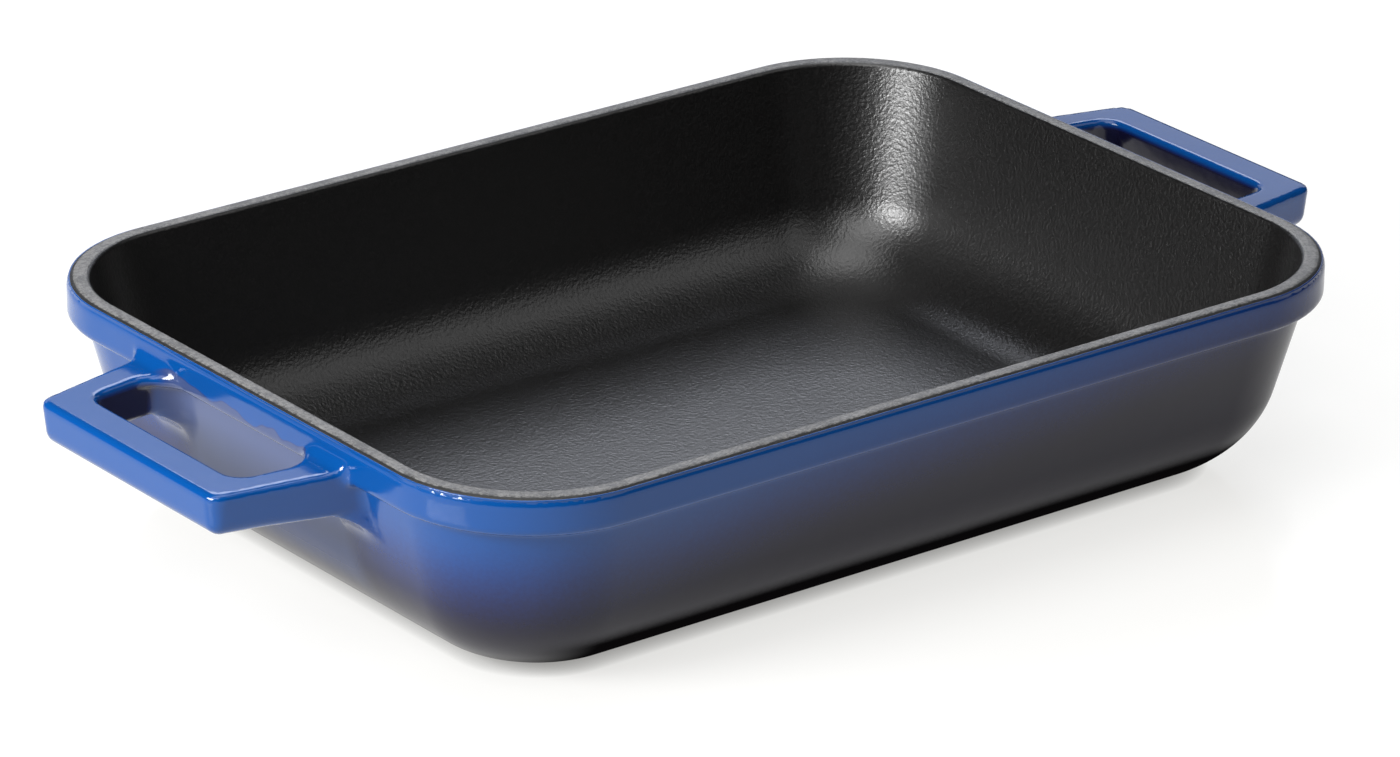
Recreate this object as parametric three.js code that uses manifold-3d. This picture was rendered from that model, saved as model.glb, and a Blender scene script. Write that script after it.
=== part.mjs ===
// Enamelled cast iron roasting pan: one iron casting, with both loop handles poured in one with the
// tub, and the four enamel coats that are fired on it.
// Millimetres, +Z up. The origin is on the table under the middle of the pan, and +X runs through
// the handles. Sizes are taken over the finished enamel.

import * as THREE from 'three';
import { mergeVertices } from 'three/addons/utils/BufferGeometryUtils.js';
import Module from 'manifold-3d';

// Tub
const rimLength = 300;
const rimWidth = 222;
const rimCornerRadius = 42;
const leastCornerRadius = 6;
const cornerFall = 0.65; // corner radius lost for each millimetre that a ring lies inside the rim
const panHeight = 62.6;
const wallThickness = 3.9;
const floorThickness = 4.6;
const wallDraft = THREE.MathUtils.degToRad(13.6);
const outerBaseRadius = 32;
const innerBaseRadius = 27;

// Rim band
const bandHeight = 10.7;
const bandProud = 4.6; // from the wall under the band to the band's face
const bandLowerRadius = 1.6;
const rimOuterRadius = 2.6;
const rimInnerRadius = 1.6;

// Loop handles, one at each end
const handleReach = 36.4; // from the band's face to the outside of the grip
const handleDrop = 8.1; // from the rim's top down to the top of the grip
const handleThickness = 12;
const handleRise = 0.8; // how much higher the top of the arms is at the band than at the grip
const handleDraft = THREE.MathUtils.degToRad(6);
const handleTopRadius = 1.6;
const handleLowerRadius = 3.6; // along the outside of the loop
const gapLowerRadius = 1.6; // along the finger gap
const gripWidth = 12.1;
const gripLength = 80.5; // between the outer corners, before they are rounded
const leastGripCornerRadius = 0.3; // seen from above, at the underside
const rootSpan = 95.5; // over both arms, at the band
const armWidthAtGrip = 9.4;
const armWidthAtRoot = 11.2;
const gapCornerRadius = 6;
const rootTopRadius = 4.2;
const rootLowerRadius = 11;
const rootEdgeRadius = 1.8;
const rootGapRadius = 9; // seen from above, where the finger gap turns from an arm to the wall

// Enamel
const coatThickness = 0.4;
const bondGap = 0.05; // between a coat and the iron, and between two coats
const baseCoatHeight = 2.4; // how far the base coat laps up the outside
const blueStopAngle = THREE.MathUtils.degToRad(150); // on the rim's outer rounding, 90 is its top
const blackStopAngle = THREE.MathUtils.degToRad(50); // on the rim's inner rounding, 90 is its top

// Facets
const cornerSteps = 8;
const baseSteps = 6;
const edgeSteps = 3;
const shortArcSteps = 2;
const handleCornerSteps = 4;
const mergeDistance = 1e-4;

const wasm = await Module();
wasm.setup();

const up = Math.PI / 2;
const outward = Math.PI;
const down = 1.5 * Math.PI;

// Points of an arc about a centre, as [a, b] pairs.
function arc(a, b, radius, from, to, steps) {
  return Array.from({ length: steps + 1 }, (_, i) => {
    const angle = from + ((to - from) * i) / steps;
    return [a + radius * Math.cos(angle), b + radius * Math.sin(angle)];
  });
}

// Moves a flat path square to itself, towards its left-hand side, by its own distance at each point.
function shiftLeft(path, distanceAt, isLoop) {
  return path.map((point, i) => {
    const before = i > 0 || isLoop ? path.at(i - 1) : null;
    const after = i < path.length - 1 || isLoop ? path[(i + 1) % path.length] : null;
    const normals = [
      [before, point],
      [point, after],
    ]
      .filter(([start, end]) => start && end)
      .map(([start, end]) => new THREE.Vector2(start[1] - end[1], end[0] - start[0]).normalize());
    const normal = normals[0].clone().add(normals.at(-1)).normalize();
    const reach = distanceAt(i) / normal.dot(normals[0]);
    return [point[0] + normal.x * reach, point[1] + normal.y * reach];
  });
}

// The wall's section is a path of [inset, z] points, where inset is how far a point lies inside the
// rim's outline. It starts on the base, goes up the outside, over the rim and down to the floor.
const slope = Math.tan(wallDraft);
const lean = Math.cos(wallDraft);
const dip = Math.sin(wallDraft);

// Outside: the base rounds into a drafted wall, and the wall curves out under the band.
const bandBottom = panHeight - bandHeight;
const underBandRadius = (bandProud - bandLowerRadius) / lean;
const wallTop = bandBottom - underBandRadius * (1 - dip);
const outerInset = (z) => bandProud + (wallTop - z) * slope;
const baseInset = outerInset(outerBaseRadius * (1 - dip)) + outerBaseRadius * lean;
const baseStopAngle = down - Math.acos(1 - baseCoatHeight / outerBaseRadius);
const baseArc = (from, to, steps) => arc(baseInset, outerBaseRadius, outerBaseRadius, from, to, steps);

// Rim: both top edges of the band are rounded, with a narrow flat between them.
const innerInset = (z) => outerInset(z) + wallThickness / lean;
const rimInnerCentre = innerInset(panHeight - rimInnerRadius) - rimInnerRadius / lean;
const rimOuterArc = (from, to, steps) =>
  arc(rimOuterRadius, panHeight - rimOuterRadius, rimOuterRadius, from, to, steps);
const rimInnerArc = (from, to, steps) =>
  arc(rimInnerCentre, panHeight - rimInnerRadius, rimInnerRadius, from, to, steps);

// Inside: the wall runs parallel to the outside and rounds into the flat floor.
const floorCentre = floorThickness + innerBaseRadius;
const floorInset = innerInset(floorCentre - innerBaseRadius * dip) + innerBaseRadius * lean;

// Each stretch of the section is the face of one coat, and starts where the one before it ends.
const stretches = {
  base: baseArc(down, baseStopAngle, shortArcSteps),
  outside: [
    ...baseArc(baseStopAngle, outward + wallDraft, baseSteps),
    ...arc(bandLowerRadius, bandBottom - underBandRadius, underBandRadius, wallDraft, up, edgeSteps),
    ...arc(bandLowerRadius, bandBottom + bandLowerRadius, bandLowerRadius, down, outward, edgeSteps).slice(1),
    ...rimOuterArc(outward, blueStopAngle, 1),
  ],
  rim: [...rimOuterArc(blueStopAngle, up, edgeSteps), ...rimInnerArc(up, blackStopAngle, shortArcSteps)],
  inside: [
    ...rimInnerArc(blackStopAngle, wallDraft, shortArcSteps),
    ...arc(floorInset, floorCentre, innerBaseRadius, outward + wallDraft, down, baseSteps),
  ],
};
const section = [stretches.base[0]];
const marks = {};
for (const [name, points] of Object.entries(stretches)) {
  const first = section.length - 1;
  section.push(...points.slice(1));
  marks[name] = [first, section.length - 1];
}

// How far the outside lies inside the rim's outline at some height.
function outsideInset(z) {
  const next = stretches.outside.findIndex((point) => point[1] >= z);
  const [start, end] = stretches.outside.slice(next - 1, next + 1);
  return THREE.MathUtils.mapLinear(z, start[1], end[1], start[0], end[0]);
}

// The whole section at some depth under the finished surface.
function sunkSection(depth) {
  return shiftLeft(section, () => -depth, false);
}

// One coat's stretch of the section at some depth, held back from its neighbours by half the gap.
function coatPath(name, depth) {
  const [first, last] = marks[name];
  const path = sunkSection(depth).slice(first, last + 1);
  const heldBack = (end, next) => {
    const share = bondGap / 2 / Math.hypot(next[0] - end[0], next[1] - end[1]);
    return [end[0] + (next[0] - end[0]) * share, end[1] + (next[1] - end[1]) * share];
  };
  if (first > 0) path[0] = heldBack(path[0], path[1]);
  if (last < section.length - 1) path[path.length - 1] = heldBack(path.at(-1), path.at(-2));
  return path;
}

// One ring of the tub: a rectangle with round corners, anticlockwise as seen from above.
function tubRing([inset, z]) {
  const radius = Math.max(rimCornerRadius - cornerFall * inset, leastCornerRadius);
  const x = rimLength / 2 - inset - radius;
  const y = rimWidth / 2 - inset - radius;
  const centres = [
    [x, y],
    [-x, y],
    [-x, -y],
    [x, -y],
  ];
  return centres.flatMap(([cx, cy], corner) =>
    arc(cx, cy, radius, corner * up, (corner + 1) * up, cornerSteps).map((point) => [...point, z]),
  );
}

// Joins level rings, each anticlockwise from above. An open stack is closed by a face at each end.
function skin(rings, isLoop) {
  const count = rings[0].length;
  const spans = isLoop ? rings.length : rings.length - 1;
  const index = [];
  for (let k = 0; k < spans; k += 1) {
    const low = k * count;
    const high = ((k + 1) % rings.length) * count;
    for (let j = 0; j < count; j += 1) {
      const next = (j + 1) % count;
      index.push(low + j, low + next, high + next);
      index.push(low + j, high + next, high + j);
    }
  }
  if (!isLoop) {
    const cap = (ring) => THREE.ShapeUtils.triangulateShape(ring.map(([x, y]) => new THREE.Vector2(x, y)), []);
    const top = (rings.length - 1) * count;
    cap(rings[0]).forEach(([a, b, c]) => index.push(c, b, a));
    cap(rings.at(-1)).forEach(([a, b, c]) => index.push(top + a, top + b, top + c));
  }
  const geometry = new THREE.BufferGeometry();
  geometry.setAttribute('position', new THREE.Float32BufferAttribute(rings.flat(2), 3));
  geometry.setIndex(index);
  return geometry;
}

function carryRound(path, isLoop) {
  return skin(path.map(tubRing), isLoop);
}

function toSolid(geometry) {
  const bare = geometry.clone();
  bare.deleteAttribute('normal');
  bare.deleteAttribute('uv');
  const merged = mergeVertices(bare, mergeDistance);
  const mesh = new wasm.Mesh({
    numProp: 3,
    vertProperties: Float32Array.from(merged.attributes.position.array),
    triVerts: Uint32Array.from(merged.index.array),
  });
  return new wasm.Manifold(mesh);
}

function toGeometry(solid) {
  const mesh = solid.getMesh();
  const geometry = new THREE.BufferGeometry();
  geometry.setAttribute('position', new THREE.BufferAttribute(mesh.vertProperties, mesh.numProp));
  geometry.setIndex(new THREE.BufferAttribute(mesh.triVerts, 1));
  return geometry;
}

// Handle: places along X, and the arms' sides, which spread towards the band.
const bandFace = rimLength / 2;
const gripOutside = bandFace + handleReach;
const gripInside = gripOutside - gripWidth;
const handleTop = panHeight - handleDrop;
const handleBottom = handleTop - handleThickness;
const rootEnd = bandFace - innerInset(handleBottom - rootLowerRadius) - rootEdgeRadius;
const armSpread = (rootSpan - gripLength) / 2 / handleReach;
const armTaper = (armWidthAtRoot - armWidthAtGrip) / (gripInside - bandFace);
const armOutside = (x) => gripLength / 2 + (gripOutside - x) * armSpread;
const armInside = (x) => armOutside(x) - armWidthAtGrip - (gripInside - x) * armTaper;
const armTop = (x) => handleTop + (handleRise * (gripOutside - x)) / handleReach;

// How far the underside of a drafted, rounded side lies inside its top outline.
const handleTilt = Math.sin(handleDraft);
const lowerInset = (radius) => (radius + (handleThickness - radius) * handleTilt) / Math.cos(handleDraft);
const gripCornerRadius = lowerInset(handleLowerRadius) + leastGripCornerRadius;

// Points along a corner that is rounded between the lines to its two neighbours.
function roundCorner(before, corner, after, radius) {
  const [x, y] = corner;
  const toBefore = new THREE.Vector2(before[0] - x, before[1] - y).normalize();
  const toAfter = new THREE.Vector2(after[0] - x, after[1] - y).normalize();
  const half = Math.acos(toBefore.dot(toAfter)) / 2;
  const middle = toBefore.clone().add(toAfter).setLength(radius / Math.sin(half));
  const start = toBefore.multiplyScalar(radius / Math.tan(half)).sub(middle);
  const turn = Math.sign(start.cross(toAfter)) * (Math.PI - 2 * half);
  return arc(x + middle.x, y + middle.y, radius, start.angle(), start.angle() + turn, handleCornerSteps);
}

// The loop from above, anticlockwise: round the arms and the grip, then back round the finger gap.
function loopOutline() {
  const gripCorner = [gripOutside, armOutside(gripOutside)];
  const gapCorner = [gripInside, armInside(gripInside)];
  const rootOutside = [rootEnd, armOutside(rootEnd)];
  const rootInside = [rootEnd, armInside(rootEnd)];
  const mirrored = ([x, y]) => [x, -y];
  const outerBend = roundCorner(mirrored(gripCorner), gripCorner, rootOutside, gripCornerRadius);
  const gapBend = roundCorner(rootInside, gapCorner, mirrored(gapCorner), gapCornerRadius);
  const outside = [...outerBend, rootOutside];
  const inside = [rootInside, ...gapBend];
  const backHalf = [...outside, ...inside];
  const backIsGap = [...outside.map(() => false), ...inside.map(() => true)];
  return {
    outline: [...backHalf, ...backHalf.map(mirrored).reverse()],
    isGap: [...backIsGap, ...backIsGap.toReversed()],
  };
}

// A drafted side with both its edges rounded, as [inset, z] points from the underside to the top.
function edgeProfile(lowerRadius, depth) {
  const topInset = (handleTopRadius * (1 + handleTilt)) / Math.cos(handleDraft);
  const side = outward + handleDraft;
  const lowCentre = handleBottom + lowerRadius;
  return [
    ...arc(lowerInset(lowerRadius), lowCentre, lowerRadius - depth, down, side, edgeSteps),
    ...arc(topInset, handleTop - handleTopRadius, handleTopRadius - depth, side, up, edgeSteps),
  ];
}

// The loop as cast: its sides draw in towards the underside, most of all along the outside.
function loopSolid(depth) {
  const { outline, isGap } = loopOutline();
  const outerEdge = edgeProfile(handleLowerRadius, depth);
  const gapEdge = edgeProfile(gapLowerRadius, depth);
  const rings = outerEdge.map((_, level) => {
    const edgeAt = (i) => (isGap[i] ? gapEdge : outerEdge)[level];
    const rise = (x) => (level > edgeSteps ? armTop(x) - handleTop : 0);
    const ring = shiftLeft(outline, (i) => edgeAt(i)[0], true);
    return ring.map(([x, y], i) => [x, y, edgeAt(i)[1] + rise(x)]);
  });
  return skin(rings, false);
}

// The root of one arm: hollow fillets carry it up into the band and down into the wall.
function armRoot(side, depth) {
  const topRadius = Math.min(rootTopRadius, panHeight - rimOuterRadius - armTop(bandFace));
  const topX = bandFace + topRadius;
  const topZ = armTop(topX) + topRadius;
  const lowZ = handleBottom - rootLowerRadius;
  const lowX = bandFace - outerInset(lowZ) + rootLowerRadius / lean;
  const topArc = arc(topX, topZ, topRadius + depth, outward, down, handleCornerSteps);
  const lowArc = arc(lowX, lowZ, rootLowerRadius + depth, up, outward - wallDraft, handleCornerSteps);
  const outline = [[rootEnd, topZ], ...topArc, ...lowArc, [rootEnd, lowArc.at(-1)[1]]];
  const near = armInside(bandFace) + handleTopRadius + depth;
  const far = armOutside(bandFace) - handleTopRadius - depth;
  const shape = new THREE.Shape(outline.map(([x, z]) => new THREE.Vector2(x, z)));
  const root = new THREE.ExtrudeGeometry(shape, {
    depth: far - near - 2 * rootEdgeRadius,
    bevelThickness: rootEdgeRadius,
    bevelSize: rootEdgeRadius,
    bevelOffset: -rootEdgeRadius,
    bevelSegments: shortArcSteps,
  });
  root.rotateX(up);
  root.translate(0, (side > 0 ? far : -near) - rootEdgeRadius, 0);
  return root;
}

// The hollow corner between an arm and the wall, inside the finger gap, at every height of the arm.
function gapFillet(side, depth) {
  const narrowing = armSpread - armTaper;
  const square = Math.hypot(1, narrowing);
  const edge = edgeProfile(gapLowerRadius, depth);
  const lowEnd = edge[edgeSteps];
  const topStart = edge[edgeSteps + 1];
  const between = stretches.outside.filter(([, z]) => z > lowEnd[1] && z < topStart[1]);
  const middle = between.map(([, z]) => {
    const share = (z - lowEnd[1]) / (topStart[1] - lowEnd[1]);
    return [THREE.MathUtils.lerp(lowEnd[0], topStart[0], share), z];
  });
  const levels = [...edge.slice(0, edgeSteps + 1), ...middle, ...edge.slice(edgeSteps + 1)];
  const rings = levels.map(([inset, z]) => {
    const x = bandFace - outsideInset(z) + rootGapRadius;
    const y = armInside(x) - rootGapRadius * square;
    const hollow = arc(x, y, rootGapRadius + inset, outward, Math.atan2(1, narrowing), edgeSteps);
    const armMiddle = armInside(x) + armWidthAtGrip / 2;
    const outline = [[hollow.at(-1)[0], armMiddle], [rootEnd, armMiddle], [rootEnd, y], ...hollow];
    const rise = z < topStart[1] ? 0 : armTop(x) - handleTop;
    const ring = outline.map(([px, py]) => [px, side * py, z + rise]);
    return side > 0 ? ring : ring.reverse();
  });
  return skin(rings, false);
}

function handlePair(depth) {
  const roots = [1, -1].flatMap((side) => [armRoot(side, depth), gapFillet(side, depth)]);
  const shapes = [loopSolid(depth), ...roots];
  const placed = shapes.flatMap((shape) => [shape, shape.clone().rotateZ(Math.PI)]);
  return placed.map(toSolid).reduce((joined, solid) => joined.add(solid));
}

// How far a cutting solid runs past the face that it cuts.
const overshoot = 2;

// The iron that lies inside all the coats.
function ironCasting() {
  const iron = sunkSection(coatThickness);
  const innerStart = marks.inside[0];
  const mouth = [iron[innerStart][0], panHeight + overshoot];
  const block = toSolid(carryRound(iron.slice(0, innerStart + 1), false));
  const cavity = toSolid(carryRound([...iron.slice(innerStart).reverse(), mouth], false));
  return toGeometry(block.add(handlePair(coatThickness)).subtract(cavity));
}

const bondDepth = coatThickness - bondGap;

// The blue coat covers the wall, the band and the handles, up to the coats above and below it.
function exteriorEnamel() {
  const face = coatPath('outside', 0);
  const bond = coatPath('outside', bondDepth);
  const past = coatPath('outside', -overshoot);
  const below = [past[0][0], -overshoot];
  const above = [past.at(-1)[0], panHeight + overshoot];
  const shell = toSolid(carryRound([...coatPath('base', 0), ...face], false));
  const core = toSolid(carryRound([below, past[0], ...bond, past.at(-1), above], false));
  return toGeometry(shell.add(handlePair(0)).subtract(core.add(handlePair(bondDepth))));
}

function baseEnamel() {
  return carryRound([...coatPath('base', 0), ...coatPath('base', bondDepth).reverse()], false);
}

function rimEnamel() {
  return carryRound([...coatPath('rim', 0), ...coatPath('rim', bondDepth).reverse()], true);
}

function interiorEnamel() {
  return carryRound([...coatPath('inside', bondDepth).reverse(), ...coatPath('inside', 0)], false);
}

function piece(name, geometry, colour, roughness, metalness) {
  const material = new THREE.MeshStandardMaterial({ color: colour, roughness, metalness });
  const mesh = new THREE.Mesh(geometry, material);
  mesh.name = name;
  return mesh;
}

const pan = new THREE.Group();
pan.name = 'roasting_pan';
pan.add(piece('iron_casting', ironCasting(), 0x3b3b3d, 0.7, 0.8));
pan.add(piece('exterior_enamel', exteriorEnamel(), 0x1f3f9e, 0.15, 0));
pan.add(piece('base_enamel', baseEnamel(), 0x17181d, 0.45, 0));
pan.add(piece('rim_enamel', rimEnamel(), 0x8a857d, 0.7, 0));
pan.add(piece('interior_enamel', interiorEnamel(), 0x18181a, 0.5, 0));

export default pan;
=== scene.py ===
# An enamelled cast iron roasting pan, standing empty on a pale studio floor.
# The pan is worked out in millimetres, in the CAD's frame, and written to Blender in metres. The studio
# around it is set out in metres.

import math

import bmesh
import bpy
import numpy as np
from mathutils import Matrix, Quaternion, Vector


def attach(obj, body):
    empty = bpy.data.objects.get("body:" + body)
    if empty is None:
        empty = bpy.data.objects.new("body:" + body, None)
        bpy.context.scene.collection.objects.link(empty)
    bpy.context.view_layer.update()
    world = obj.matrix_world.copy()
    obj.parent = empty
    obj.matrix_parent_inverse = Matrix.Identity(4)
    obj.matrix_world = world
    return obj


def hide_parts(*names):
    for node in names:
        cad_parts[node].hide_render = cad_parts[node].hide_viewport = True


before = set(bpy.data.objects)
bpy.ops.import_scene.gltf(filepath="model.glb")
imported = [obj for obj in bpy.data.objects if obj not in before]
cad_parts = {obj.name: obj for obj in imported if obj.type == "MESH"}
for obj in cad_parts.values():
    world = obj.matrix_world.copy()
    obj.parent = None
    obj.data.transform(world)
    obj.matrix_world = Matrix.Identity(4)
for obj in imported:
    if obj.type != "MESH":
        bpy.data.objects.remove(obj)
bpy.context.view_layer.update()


# Iron casting: the tub, its rim band and both loop handles in one pour of grey iron. The enamel hides
# all of it, so it keeps its solid and only gets the grain of a sand-cast face.
iron_hollow = (0.03, 0.03, 0.032, 1)
iron_grain = (0.09, 0.088, 0.085, 1)
metre = 0.001
usual = (0.3, 0.7)  # where most values of a noise lie


class Wire:
    """One output in a node tree. Arithmetic on it adds math nodes to the tree."""

    def __init__(self, tree, socket=None):
        self.tree = tree
        self.socket = socket

    def node(self, kind, inputs, output=0, **settings):
        made = self.tree.nodes.new(kind)
        for name, value in settings.items():
            setattr(made, name, value)
        sockets = {socket.identifier: socket for socket in made.inputs}
        for name, value in inputs.items():
            if isinstance(value, Wire):
                self.tree.links.new(value.socket, sockets[name])
            else:
                sockets[name].default_value = value
        return Wire(self.tree, made.outputs[output])

    def math(self, operation, first, second=0.0):
        inputs = {"Value": first, "Value_001": second}
        return self.node("ShaderNodeMath", inputs, operation=operation)

    def __add__(self, other):
        return self.math("ADD", self, other)

    def __radd__(self, other):
        return self.math("ADD", other, self)

    def __sub__(self, other):
        return self.math("SUBTRACT", self, other)

    def __rsub__(self, other):
        return self.math("SUBTRACT", other, self)

    def __mul__(self, other):
        return self.math("MULTIPLY", self, other)

    def __rmul__(self, other):
        return self.math("MULTIPLY", other, self)

    def __truediv__(self, other):
        return self.math("DIVIDE", self, other)

    def __rtruediv__(self, other):
        return self.math("DIVIDE", other, self)


def start_material(name):
    material = bpy.data.materials.new(name)
    material.use_nodes = True
    tree = material.node_tree
    shader = tree.nodes["Principled BSDF"]
    place = Wire(tree).node("ShaderNodeTexCoord", {}, output="Object")
    return material, shader, place


def blend(factor, first, second):
    inputs = {"Factor_Float": factor, "A_Color": first, "B_Color": second}
    return factor.node("ShaderNodeMix", inputs, output=2, data_type="RGBA")


def ramp(value, span, to=(0.0, 1.0)):
    inputs = {"Value": value, "From Min": span[0], "From Max": span[1], "To Min": to[0], "To Max": to[1]}
    return value.node("ShaderNodeMapRange", inputs, interpolation_type="SMOOTHSTEP")


def noise(place, scale, detail=2.0, roughness=0.5):
    inputs = {"Vector": place, "Scale": scale, "Detail": detail, "Roughness": roughness}
    return place.node("ShaderNodeTexNoise", inputs)


def bump(relief, strength, depth):
    inputs = {"Height": relief, "Strength": strength, "Distance": depth * metre}
    return relief.node("ShaderNodeBump", inputs)


def plug(shader, **wires):
    for name, wire in wires.items():
        shader.id_data.links.new(wire.socket, shader.inputs[name.replace("_", " ")])


iron, iron_shader, place = start_material("sand_cast_iron")
grain = noise(place, scale=900, detail=4, roughness=0.6)
plug(
    iron_shader,
    Base_Color=blend(grain, iron_hollow, iron_grain),
    Roughness=ramp(grain, usual, to=(0.5, 0.75)),
    Normal=bump(grain, strength=0.4, depth=0.2),
)
iron_shader.inputs["Metallic"].default_value = 1.0
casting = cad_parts["iron_casting"]
casting.data.materials.clear()
casting.data.materials.append(iron)


# Blue enamel: one glossy coat over the wall, the rim band and both handles, sprayed so that it fades to
# near black towards the base. It runs over every hollow of the casting without a seam, so its surface is
# worked out from the distances to the tub and the loops, rounded where they meet.
rim_length = 300.0
rim_width = 222.0
rim_corner = 42.0
corner_fall = 0.65  # corner radius lost for each millimetre that a ring lies inside the rim
pan_height = 62.6
wall_draft = math.radians(13.6)
coat_thickness = 0.35
band_height = 10.7
band_proud = 4.6
band_lower_radius = 1.6
rim_outer_radius = 2.6
base_radius = 32.0
base_coat_height = 2.4
blue_stop = math.radians(145)
lip_radius = 0.28

handle_reach = 36.4
handle_drop = 8.1
handle_thickness = 12.0
handle_rise = 0.8
handle_draft = math.radians(6)
handle_top_radius = 1.6
handle_lower_radius = 3.6
gap_lower_radius = 1.6
grip_width = 12.1
grip_length = 80.5
grip_corner_radius = 4.8
root_span = 95.5
arm_width_at_grip = 9.4
arm_width_at_root = 11.2
gap_corner_radius = 6.0
root_top_radius = 4.2
root_lower_radius = 11.0
root_gap_radius = 9.0
root_side_radius = 2.5
top_blend = 3.0  # over which the side radius of a root turns into the top one
lower_blend = 4.0  # over which it turns into the lower one
enamel_pool = 0.55  # extra enamel in the corners of the finger gap
pool_start = 1.5  # in gap radii from the corner

slope, lean, dip = math.tan(wall_draft), math.cos(wall_draft), math.sin(wall_draft)
band_bottom = pan_height - band_height
under_radius = (band_proud - band_lower_radius) / lean
wall_top = band_bottom - under_radius * (1 - dip)


def wall_inset(z):
    return band_proud + (wall_top - z) * slope


base_inset = wall_inset(base_radius * (1 - dip)) + base_radius * lean
band_face = rim_length / 2
grip_outside = band_face + handle_reach
grip_inside = grip_outside - grip_width
handle_top = pan_height - handle_drop
handle_bottom = handle_top - handle_thickness
arm_spread = (root_span - grip_length) / 2 / handle_reach
arm_taper = (arm_width_at_root - arm_width_at_grip) / (grip_inside - band_face)


def arm_outside(x):
    return grip_length / 2 + (grip_outside - x) * arm_spread


def arm_inside(x):
    return arm_outside(x) - arm_width_at_grip - (grip_inside - x) * arm_taper


def outside_inset(z):
    """How far the outside of the tub lies inside the rim, at the heights of the handle."""
    below = np.clip(band_bottom + band_lower_radius - z, 0, band_lower_radius)
    band = band_lower_radius - np.sqrt(band_lower_radius**2 - below**2)
    above = np.clip(z - band_bottom + under_radius, 0, under_radius)
    hollow = band_lower_radius + np.sqrt(under_radius**2 - above**2)
    return np.where(z > band_bottom, band, np.where(z > wall_top, hollow, wall_inset(z)))


def ring_inset(x, y):
    """How far inside the rim the ring of the tub that passes through a point lies."""
    side = np.minimum(rim_length / 2 - x, rim_width / 2 - y)
    from_x = x - rim_length / 2 + rim_corner
    from_y = y - rim_width / 2 + rim_corner
    drift = 1 - corner_fall
    square = 2 * drift**2 - corner_fall**2
    linear = drift * (from_x + from_y) + corner_fall * rim_corner
    constant = from_x**2 + from_y**2 - rim_corner**2
    corner = -constant / (linear + np.sqrt(np.maximum(linear**2 - square * constant, 0)))
    return np.where(np.minimum(from_x, from_y) + drift * side > 0, corner, side)


def rounded(first, second, radius):
    """Distance to the edge between two faces, rounded."""
    a, b = first + radius, second + radius
    return np.hypot(np.maximum(a, 0), np.maximum(b, 0)) + np.minimum(np.maximum(a, b), 0) - radius


def tub_distance(x, y, z):
    inset = ring_inset(x, y)
    upper = z > band_bottom + band_height / 2
    band_edge = np.where(upper, z - pan_height, band_bottom - z)
    band = rounded(-inset, band_edge, np.where(upper, rim_outer_radius, band_lower_radius))
    s, t = inset - base_inset, z - base_radius
    in_base = (s < 0) & (-t + s * slope > 0)
    body = np.where(in_base, np.hypot(s, t) - base_radius, np.maximum((wall_inset(z) - inset) * lean, -z))
    either = np.minimum(band, body)
    s, t = inset - band_lower_radius, z - band_bottom + under_radius
    in_hollow = (s > 0) & (t - s * slope > 0) & (z < band_bottom) & (either > 0)
    return np.where(in_hollow, under_radius - np.hypot(s, t), either)


def wedge_distance(x, y, end, side_at_end, spread, radius):
    """Plan distance to an end face and a spreading side, with the corner between them rounded."""
    angle = math.atan(spread)
    side = (y - side_at_end - (end - x) * spread) * math.cos(angle)
    s = x - end + radius
    t = y - side_at_end - radius * spread + radius / math.cos(angle)
    in_corner = (t > 0) & (s - t * spread > 0)
    return np.where(in_corner, np.hypot(s, t) - radius, np.maximum(x - end, side))


def ease(value):
    value = np.clip(value, 0, 1)
    return value * value * (3 - 2 * value)


def coat_distance(points):
    """Distance to the outside of the pan, with each loop and its roots flowing into the tub."""
    x, y, z = np.abs(points[..., 0]), np.abs(points[..., 1]), points[..., 2]
    outer = wedge_distance(x, y, grip_outside, grip_length / 2, arm_spread, grip_corner_radius)
    narrowing = arm_spread - arm_taper
    gap = wedge_distance(x, y, grip_inside, arm_inside(grip_inside), narrowing, gap_corner_radius)
    pooled = enamel_pool * ease((y - arm_inside(band_face)) / root_gap_radius + pool_start)
    tub_face = band_face - outside_inset(z) + pooled
    s = tub_face + root_gap_radius - x
    t = y - arm_inside(tub_face + root_gap_radius) + root_gap_radius * math.hypot(1, narrowing)
    in_root = (t > 0) & (s + t * narrowing > 0)
    gap = np.where(in_root, np.hypot(s, t) - root_gap_radius, np.maximum(gap, tub_face - x))

    top = handle_top + handle_rise * (grip_outside - x) / handle_reach
    fall = (top - z) * math.sin(handle_draft)
    outside = outer * math.cos(handle_draft) + fall
    inside = -gap * math.cos(handle_draft) + fall
    upper = z > (top + handle_bottom) / 2
    over, under = z - top, handle_bottom - z
    edge = np.where(upper, over, under)
    toward_root = ease((grip_inside - x) / (grip_inside - band_face))
    lower_radius = handle_lower_radius + (gap_lower_radius - handle_lower_radius) * toward_root
    outside_edge = rounded(outside, edge, np.where(upper, handle_top_radius, lower_radius))
    inside_edge = rounded(inside, edge, np.where(upper, handle_top_radius, gap_lower_radius))
    loop = np.maximum(outside_edge, inside_edge)

    side = np.maximum(outside, inside)
    below, above = ease((under - side) / lower_blend + 0.5), ease((over - side) / top_blend + 0.5)
    radius = root_side_radius + (root_lower_radius - root_side_radius) * below
    radius = radius + (root_top_radius - radius) * above
    radius = radius * ease(t / root_gap_radius)
    tub = tub_distance(x, y, z)
    a, b = np.maximum(radius - tub, 0), np.maximum(radius - loop, 0)
    return np.maximum(radius, np.minimum(tub, loop)) - np.hypot(a, b)


def coat_normal(points):
    step = 0.02
    axes = np.eye(3) * step
    return np.stack([coat_distance(points + a) - coat_distance(points - a) for a in axes], -1) / (2 * step)


def settle(points, rounds):
    for _ in range(rounds):
        slant = coat_normal(points)
        points = points - slant * (coat_distance(points) / (slant**2).sum(-1))[:, None]
    return points


def add_object(name, data):
    made = bpy.data.objects.new(name, data)
    bpy.context.scene.collection.objects.link(made)
    return made


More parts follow.
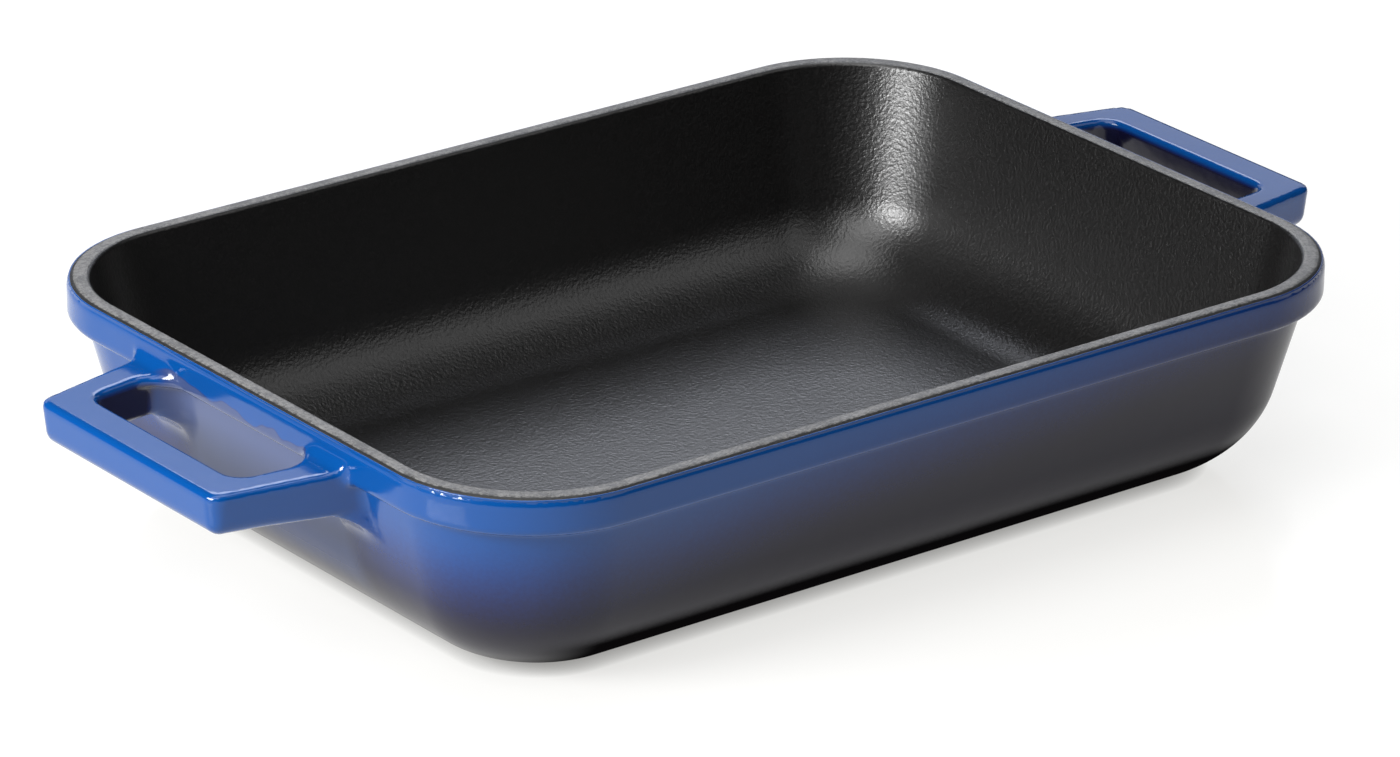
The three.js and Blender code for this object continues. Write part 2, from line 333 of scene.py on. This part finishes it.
# Every cell of a grid that the surface passes through gets a point, and points of cells that share a
# crossed edge join into a quad.
cell = 1.15
lowest_level = 0.6
shortest_edge = 0.12
relax_rounds, relax_share = 8, 0.5
half_counts = [math.ceil(size / cell) + 2 for size in (grip_outside, rim_width / 2)]
across = [(np.arange(-count, count) + 0.5) * cell for count in half_counts]
levels = np.arange(lowest_level, pan_height + 1.5 * cell, cell)
quadrant = np.meshgrid(across[0][half_counts[0]:], across[1][half_counts[1]:], levels, indexing="ij")
solid = coat_distance(np.stack(quadrant, -1)) < 0
solid = np.concatenate([solid[::-1], solid], 0)
solid = np.concatenate([solid[:, ::-1], solid], 1)

counts = [size - 1 for size in solid.shape]
cell_corners = []
for i, j, k in np.ndindex(2, 2, 2):
    cell_corners.append(solid[i : i + counts[0], j : j + counts[1], k : k + counts[2]])
crossed = np.any(cell_corners, 0) & ~np.all(cell_corners, 0)
number = np.full(crossed.shape, -1)
number[crossed] = np.arange(crossed.sum())
i, j, k = np.nonzero(crossed)
points = np.stack([across[0][i], across[1][j], levels[k]], -1) + cell / 2

quads = []
for axis in range(3):
    below = np.take(solid, range(solid.shape[axis] - 1), axis)
    above = np.take(solid, range(1, solid.shape[axis]), axis)
    at = np.argwhere(below != above)
    u, v = (axis + 1) % 3, (axis + 2) % 3
    for side in (u, v):
        at = at[(at[:, side] > 0) & (at[:, side] < solid.shape[side] - 1)]
    around = []
    for du, dv in ((0, 0), (-1, 0), (-1, -1), (0, -1)):
        neighbour = at.copy()
        neighbour[:, u] += du
        neighbour[:, v] += dv
        around.append(number[tuple(neighbour.T)])
    ring = np.stack(around, -1)
    faces_up = below[tuple(at.T)]
    quads.append(np.where(faces_up[:, None], ring, ring[:, ::-1]))
quads = np.concatenate(quads)

points = settle(points, 3)
starts, ends = quads.ravel(), np.roll(quads, -1, 1).ravel()
shares = np.bincount(starts, minlength=len(points)) + np.bincount(ends, minlength=len(points))
for _ in range(relax_rounds):
    pull = np.zeros_like(points)
    for axis in range(3):
        pull[:, axis] += np.bincount(starts, points[ends, axis], len(points))
        pull[:, axis] += np.bincount(ends, points[starts, axis], len(points))
    points = settle(points + relax_share * (pull / shares[:, None] - points), 1)
points = settle(points, 2)

sheet = bmesh.new()
sheet_points = [sheet.verts.new(point) for point in points.tolist()]
for quad in quads.tolist():
    sheet.faces.new([sheet_points[index] for index in quad])
blue_top = pan_height - rim_outer_radius + rim_outer_radius * math.sin(blue_stop)
for cut, facing in ((base_coat_height, -1), (blue_top, 1)):
    everything = sheet.verts[:] + sheet.edges[:] + sheet.faces[:]
    bmesh.ops.bisect_plane(
        sheet, geom=everything, dist=1e-5, plane_co=(0, 0, cut), plane_no=(0, 0, facing), clear_outer=True
    )
bmesh.ops.remove_doubles(sheet, verts=sheet.verts[:], dist=shortest_edge)
sheet.normal_update()


def extrude_border(edges, roots, across_border, out_of_face):
    """Adds one strip beyond a border, each new point set off from the border point it grew from."""
    made = bmesh.ops.extrude_edge_only(sheet, edges=edges)["geom"]
    fresh = {item for item in made if isinstance(item, bmesh.types.BMVert)}
    grown = {}
    for vertex in fresh:
        partner = next(e.other_vert(vertex) for e in vertex.link_edges if e.other_vert(vertex) not in fresh)
        grown[vertex] = roots[partner]
        spot, slant, rise = roots[partner]
        vertex.co = spot + across_border * rise + out_of_face * slant
    border = [item for item in made if isinstance(item, bmesh.types.BMEdge) and set(item.verts) <= fresh]
    return border, grown


# The lower border turns in to the iron. The upper one ends in the thick rounded lip that wet enamel
# draws itself into.
lip_angles = [math.radians(degrees) for degrees in (150, 120, 90, 60, 30, 0)]
lip_steps = [(lip_radius * (1 + math.cos(a)), lip_radius * math.sin(a)) for a in lip_angles]
for upper, steps in ((False, []), (True, lip_steps)):
    border = [e for e in sheet.edges if e.is_boundary and (e.verts[0].co.z > band_bottom) == upper]
    roots = {}
    for vertex in {vertex for edge in border for vertex in edge.verts}:
        slant = Vector(coat_normal(np.array(vertex.co)[None])[0]).normalized()
        rise = (Vector((0, 0, 1)) - slant.z * slant).normalized()
        roots[vertex] = (vertex.co.copy(), slant, rise)
    reach = steps[-1][0] if upper else 0.0
    for across_border, out_of_face in [*steps, (reach, -coat_thickness)]:
        border, roots = extrude_border(border, roots, across_border, out_of_face)
for vertex in sheet.verts:
    vertex.co *= metre
for face in sheet.faces:
    face.smooth = True
blue_mesh = bpy.data.meshes.new("blue_enamel_coat")
sheet.to_mesh(blue_mesh)
sheet.free()
blue_coat = add_object("blue_enamel_coat", blue_mesh)

# The spray comes from above and a little from the left and covers both handles. Painted shade pulls the
# faces inside the finger gaps to near black. Below a wavy edge the end walls between the arms get less blue
# and a pale grey-lilac, a painted reflection of the bright floor.
unsprayed_and_gap_shade = (0.007, 0.0055, 0.02, 1)
thin_blue = (0.003, 0.022, 0.2, 1)
full_blue = (0.0013, 0.056, 0.235, 1)
reflected_floor_lilac = (0.05, 0.078, 0.19, 1)
spray_heights = (28.0, 64.0)  # from unsprayed to full
spray_tilt = 0.1
handle_gain = 25.0
drift_reach, spray_reach, drip_reach = 6.0, 9.0, 8.0
end_wall = (133.0, 140.0)
drip_edge = (-3.9, -3.1)  # measured down from the bottom of the band
gap_shade_strength, lee_and_reflection_strength = 0.95, 0.8
blue, blue_shader, place = start_material("sprayed_blue_enamel")
along, aside, height = [
    place.node("ShaderNodeSeparateXYZ", {"Vector": place}, output=axis) / metre for axis in range(3)
]
outward, aside = place.math("ABSOLUTE", along), place.math("ABSOLUTE", aside)
drift = noise(place, scale=18) - 0.5
spray = noise(place, scale=900, detail=3, roughness=0.7) - 0.5
drips = noise(place, scale=90, detail=1) - 0.5
on_handle = ramp(outward, (band_face - 4, band_face + 6))
between_arms = arm_inside(outward) - aside
# Inside the finger gaps the blue is pulled to near black: painted shade.
gap_shade = ramp(between_arms, (-3, -1.5)) * ramp(grip_inside - outward, (-3, -1.5))
gap_shade = gap_shade * ramp(outward, (band_face + 1, band_face + 5)) * ramp(handle_top - height, (0.5, 2.5))
# On the end walls between the arms, below a wavy edge, the blue thins and a pale grey-lilac is painted on
# as a painted reflection of the bright floor.
lee_and_reflection = ramp(between_arms, (-4, 6)) * ramp(outward, end_wall) * ramp(band_face - outward, (-4, 0))
lee_and_reflection = lee_and_reflection * ramp(band_bottom - height + drip_reach * drips, drip_edge)
reached = height - spray_tilt * along + handle_gain * on_handle + drift_reach * drift + spray_reach * spray
fade = ramp(reached, spray_heights) * (1 - gap_shade_strength * gap_shade) * (1 - lee_and_reflection_strength * lee_and_reflection)
sprayed = blend(fade, unsprayed_and_gap_shade, blend(fade, thin_blue, full_blue))
plug(
    blue_shader,
    Base_Color=blend(lee_and_reflection_strength * lee_and_reflection, sprayed, reflected_floor_lilac),
    Roughness=ramp(spray, (-0.3, 0.3), to=(0.1, 0.16)),
    Normal=bump(noise(place, scale=140, detail=1) + 0.04 * spray, strength=0.1, depth=0.5),
)

# Towards the foot a dull black skin is mixed in over the glossy blue as painted shade, a little more of it
# towards the right end, with a black strip along the floor that stands in for the contact shadow the foot
# reflects. The left end keeps more of the gloss all the way down.
foot_shade_black = (0.004, 0.0035, 0.004, 1)
foot_shade_heights = (11.0, 17.0)
gloss_heights, gloss_tilt, gloss_range = (-10.0, 75.0), 0.065, (0.42, 0.92)
end_heights = (-45.0, 45.0)
left_end = (-129.0, -103.0)
on_side = ramp(height - gloss_tilt * along, gloss_heights, to=gloss_range)
on_side = on_side * ramp(height + drift + spray, foot_shade_heights)
on_end = ramp(height, end_heights)
unshaded_share = on_end + ramp(along, left_end) * (on_side - on_end)
unshaded_share = unshaded_share + on_handle * (1 - unshaded_share)
# The dull black diffuse skin below is painted shade, mixed in over the glossy blue.
dry = place.node("ShaderNodeBsdfDiffuse", {"Color": foot_shade_black, "Roughness": 0.5})
glaze = Wire(blue.node_tree, blue_shader.outputs["BSDF"])
skin = place.node("ShaderNodeMixShader", {"Fac": unshaded_share, "Shader": dry, "Shader_001": glaze})
blue.node_tree.links.new(skin.socket, blue.node_tree.nodes["Material Output"].inputs["Surface"])
blue_mesh.materials.append(blue)
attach(blue_coat, "root")
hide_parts("exterior_enamel")


# Base enamel: the thin dark coat under the flat base, which laps a little way up the outside. Like the
# rim and the well it is one section carried round the pan, so all three share one node tree.
base_dark = (0.004, 0.004, 0.005, 1)
base_light = (0.009, 0.009, 0.01, 1)
base_rings = (rim_width / 2, 90.0, 70.0, 55.0, 48.0)
corner_steps = 24
down, side_on, upward = 1.5 * math.pi, math.pi, 0.5 * math.pi


def arc(a, b, radius, start, stop, steps):
    angles = np.linspace(start, stop, steps + 1)
    return np.stack([a + radius * np.cos(angles), b + radius * np.sin(angles)], -1)


def sunk(path, depth):
    """Moves a section path square to itself, into the iron on its right-hand side."""
    tangent = np.gradient(path, axis=0)
    normal = np.stack([tangent[:, 1], -tangent[:, 0]], -1)
    return path + depth * normal / np.linalg.norm(normal, axis=1)[:, None]


carry = bpy.data.node_groups.new("carried_round_the_pan", "GeometryNodeTree")
carry.interface.new_socket("Section", in_out="INPUT", socket_type="NodeSocketGeometry")
for name in ("Rim Length", "Rim Width", "Rim Corner", "Corner Fall"):
    carry.interface.new_socket(name, in_out="INPUT", socket_type="NodeSocketFloat")
carry.interface.new_socket("Corner Steps", in_out="INPUT", socket_type="NodeSocketInt")
carry.interface.new_socket("Material", in_out="INPUT", socket_type="NodeSocketMaterial")
carry.interface.new_socket("Coat", in_out="OUTPUT", socket_type="NodeSocketGeometry")
given = carry.nodes.new("NodeGroupInput").outputs
section, length, width, corner_radius, fall, steps, skin = [Wire(carry, given[index]) for index in range(7)]
count = section.node("GeometryNodeAttributeDomainSize", {"Geometry": section})
columns = 4 * (steps + 1)
grid = section.node("GeometryNodeMeshGrid", {"Vertices X": columns + 1, "Vertices Y": count})
index = section.node("GeometryNodeInputIndex", {})
column = section.math("FLOOR", index / count)
row = index - column * count
corner = section.math("FLOOR", column / (steps + 1))
angle = (corner + (column - corner * (steps + 1)) / steps) * (math.pi / 2)
middle = (corner + 0.5) * (math.pi / 2)
position = section.node("GeometryNodeInputPosition", {})
spot = section.node(
    "GeometryNodeSampleIndex", {"Geometry": section, "Index": row}, data_type="FLOAT_VECTOR"
)
carry.links.new(position.socket, spot.socket.node.inputs["Value"])
inset = section.node("ShaderNodeSeparateXYZ", {"Vector": spot})
level = section.node("ShaderNodeSeparateXYZ", {"Vector": spot}, output=2)
radius = section.math("MAXIMUM", corner_radius - fall * inset, 0.0)
east = section.math("SIGN", section.math("COSINE", middle)) * (length / 2 - inset - radius)
north = section.math("SIGN", section.math("SINE", middle)) * (width / 2 - inset - radius)
ring_point = {
    "X": east + radius * section.math("COSINE", angle),
    "Y": north + radius * section.math("SINE", angle),
    "Z": level,
}
target = section.node("ShaderNodeCombineXYZ", ring_point)
moved = section.node("GeometryNodeSetPosition", {"Geometry": grid, "Position": target})
merged = section.node("GeometryNodeMergeByDistance", {"Geometry": moved, "Distance": 1e-6})
smooth = section.node("GeometryNodeSetShadeSmooth", {"Geometry": merged})
real = section.node("GeometryNodeRealizeInstances", {"Geometry": smooth})
painted = section.node("GeometryNodeSetMaterial", {"Geometry": real, "Material": skin})
carry.links.new(painted.socket, carry.nodes.new("NodeGroupOutput").inputs["Coat"])


def carry_round(name, path, material):
    path = np.asarray(path) * metre
    mesh = bpy.data.meshes.new(name)
    edges = [(n, n + 1) for n in range(len(path) - 1)]
    mesh.from_pydata([(inset, 0, z) for inset, z in path.tolist()], edges, [])
    coat = add_object(name, mesh)
    modifier = coat.modifiers.new("carry", "NODES")
    modifier.node_group = carry
    values = {
        "Rim Length": rim_length * metre,
        "Rim Width": rim_width * metre,
        "Rim Corner": rim_corner * metre,
        "Corner Fall": corner_fall,
        "Corner Steps": corner_steps,
        "Material": material,
    }
    for item in carry.interface.items_tree:
        if item.name in values:
            modifier[item.identifier] = values[item.name]
    ready = coat.evaluated_get(bpy.context.evaluated_depsgraph_get())
    plain = bpy.data.meshes.new_from_object(ready)
    coat.modifiers.remove(modifier)
    coat.data = plain
    plain.name = name
    bpy.data.meshes.remove(mesh)
    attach(coat, "root")
    return coat


dark, dark_shader, place = start_material("dark_base_enamel")
mottle = noise(place, scale=300, detail=3, roughness=0.6)
plug(
    dark_shader,
    Base_Color=blend(mottle, base_dark, base_light),
    Roughness=ramp(mottle, usual, to=(0.55, 0.7)),
    Normal=bump(mottle, strength=0.15, depth=0.4),
)
dark_shader.inputs["Specular IOR Level"].default_value = 0.2
lap = math.acos(1 - base_coat_height / base_radius)
lapped = arc(base_inset, base_radius, base_radius, down, down - lap, 8)
face = np.array([*[(inset, 0.0) for inset in base_rings], *lapped])
base_coat = carry_round("base_enamel_coat", [*face, *sunk(face, coat_thickness)[::-1]], dark)
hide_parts("base_enamel")


# Rim enamel: a matte grey ground coat on the top of the band, left bare of the blue and the black where
# the rim would chip. It has a fine dry speckle and darkens where the other coats run up to it.
wall_thickness = 3.9
rim_inner_radius = 1.6
black_stop = math.radians(62)
edge_dark = (0.012, 0.012, 0.012, 1)
speck_dark = (0.05, 0.049, 0.048, 1)
speck_light = (0.185, 0.182, 0.178, 1)
edge_depth = 0.15


def inner_inset(z):
    return wall_inset(z) + wall_thickness / lean


rim_inner_centre = inner_inset(pan_height - rim_inner_radius) - rim_inner_radius / lean
rim_outer_centre = pan_height - rim_outer_radius
grey, grey_shader, place = start_material("dry_grey_enamel")
height = place.node("ShaderNodeSeparateXYZ", {"Vector": place}, output=2) / metre
fleck = noise(place, scale=1000, detail=4, roughness=0.7)
cloud = noise(place, scale=120)
speckled = blend(ramp(fleck + 0.3 * cloud, (0.5, 0.8)), speck_dark, speck_light)
on_top = ramp(height + 0.3 * fleck, (pan_height - edge_depth, pan_height))
plug(
    grey_shader,
    Base_Color=blend(on_top, edge_dark, speckled),
    Roughness=ramp(fleck, usual, to=(0.35, 0.6)),
    Normal=bump(fleck, strength=0.5, depth=0.3),
)
face = np.array([
    *arc(rim_outer_radius, rim_outer_centre, rim_outer_radius, blue_stop, upward, 8),
    *arc(rim_inner_centre, pan_height - rim_inner_radius, rim_inner_radius, upward, black_stop, 6),
])
back = sunk(face, coat_thickness)[::-1]
rim_coat = carry_round("rim_enamel_coat", [*face, *back, face[0]], grey)
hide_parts("rim_enamel")


# Well enamel: the black satin coat of the inside, from the rim down the wall to the flat floor. It dries
# to a fine pebbled skin that breaks up the light.
floor_thickness = 4.6
inner_base_radius = 27.0
well_rings = (48.0, 60.0, 85.0, rim_width / 2)
satin_black = (0.002, 0.0018, 0.0018, 1)
pale_speck = (0.008, 0.0072, 0.007, 1)
floor_centre = floor_thickness + inner_base_radius
floor_inset = inner_inset(floor_centre - inner_base_radius * dip) + inner_base_radius * lean
black, black_shader, place = start_material("pebbled_black_enamel")
pebble = noise(place, scale=950, detail=2, roughness=0.6)
speck = ramp(noise(place, scale=1700, detail=2, roughness=0.6), (0.5, 0.75))
plug(
    black_shader,
    Base_Color=blend(speck, satin_black, pale_speck),
    Roughness=ramp(pebble, usual, to=(0.3, 0.36)),
    Normal=bump(pebble, strength=0.8, depth=0.2),
)
black_shader.inputs["Specular IOR Level"].default_value = 0.8
face = np.array([
    *arc(rim_inner_centre, pan_height - rim_inner_radius, rim_inner_radius, black_stop, wall_draft, 8),
    *arc(floor_inset, floor_centre, inner_base_radius, side_on + wall_draft, down, 24),
    *[(inset, floor_thickness) for inset in well_rings],
])
well_coat = carry_round("well_enamel_coat", [*sunk(face, coat_thickness)[::-1], *face], black)
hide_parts("interior_enamel")


# Studio: a pale floor that glows like a light table and is shaded close to the pan, a narrow bright strip
# from the left, and soft panels at the upper left, overhead, behind and at the front right. The camera
# has the long lens of a product shot.
floor_half = 6.0
floor_level = -0.0001  # just under the pan, so that its base and the floor don't share a plane
shade_reach = 0.004
paper_grey = (0.25, 0.25, 0.248, 1)
paper_light = (0.27, 0.27, 0.267, 1)
shaded_glow = (0.4, 0.396, 0.385, 1)
open_glow = (1.0, 0.995, 0.975, 1)
floor_corners = [(-1, -1), (1, -1), (1, 1), (-1, 1)]
floor_points = [(x * floor_half, y * floor_half, floor_level) for x, y in floor_corners]
floor_mesh = bpy.data.meshes.new("studio_floor")
floor_mesh.from_pydata(floor_points, [], [(0, 1, 2, 3)])
floor = add_object("studio_floor", floor_mesh)
white, white_shader, place = start_material("white_floor")
paper = noise(place, scale=3)
open_sky = place.node("ShaderNodeAmbientOcclusion", {"Distance": shade_reach}, output="AO")
plug(
    white_shader,
    Base_Color=blend(paper, paper_grey, paper_light),
    Roughness=ramp(paper, usual, to=(0.12, 0.16)),
    Emission_Color=blend(open_sky, shaded_glow, open_glow),
)
white_shader.inputs["Specular IOR Level"].default_value = 0.1
white_shader.inputs["Emission Strength"].default_value = 0.74
floor_mesh.materials.append(white)

neutral = (1.0, 1.0, 1.0)
cool = (0.94, 0.98, 1.08)
room_grey = (0.02, 0.02, 0.02, 1)


def soft_light(name, toward, away, wide, tall, brightness, tint=neutral):
    lamp = bpy.data.lights.new(name, "AREA")
    lamp.color = tint
    lamp.shape = "RECTANGLE"
    lamp.size = wide
    lamp.size_y = tall
    lamp.energy = math.pi * wide * tall * brightness
    holder = add_object(name, lamp)
    holder.location = Vector(toward).normalized() * away
    holder.rotation_euler = (-holder.location).to_track_quat("-Z", "Y").to_euler()


soft_light("left_strip", (-0.905, 0.032, 0.423), away=1.0, wide=0.45, tall=0.3, brightness=28.0)
soft_light("upper_left_panel", (-0.558, -0.26, 0.788), away=3.0, wide=2.4, tall=1.5, brightness=3.2)
soft_light("overhead_panel", (0.0, 0.0, 1.0), away=3.0, wide=2.0, tall=2.0, brightness=2.5)
soft_light("back_panel", (0.5, 0.78, 0.33), away=3.0, wide=4.0, tall=1.0, brightness=0.95, tint=cool)
soft_light(
    "back_upper_panel", (0.465, 0.595, 0.656), away=3.0, wide=1.3, tall=1.15, brightness=4.4, tint=cool
)
soft_light("front_right_panel", (0.45, -0.55, 0.7), away=3.0, wide=2.0, tall=1.6, brightness=1.0)
world = bpy.data.worlds.new("studio")
world.use_nodes = True
world.node_tree.nodes["Background"].inputs["Color"].default_value = room_grey
bpy.context.scene.world = world

camera_aim = Vector((0.0, -0.00095, 0.02854))
camera_distance = 2.05674
camera_azimuth = math.radians(232.064)
camera_elevation = math.radians(22.5744)
camera_roll = math.radians(0.6808)
level_reach = math.cos(camera_elevation)
toward_camera = Vector((
    level_reach * math.cos(camera_azimuth),
    level_reach * math.sin(camera_azimuth),
    math.sin(camera_elevation),
))
upright = (-toward_camera).to_track_quat("-Z", "Y")
lens = bpy.data.cameras.new("camera")
lens.lens = 194.96
lens.sensor_width = 36.0
camera = add_object("camera", lens)
camera.location = camera_aim + camera_distance * toward_camera
camera.rotation_euler = (upright @ Quaternion((0, 0, 1), camera_roll)).to_euler()
bpy.context.scene.camera = camera
bpy.context.scene.view_settings.view_transform = "Standard"
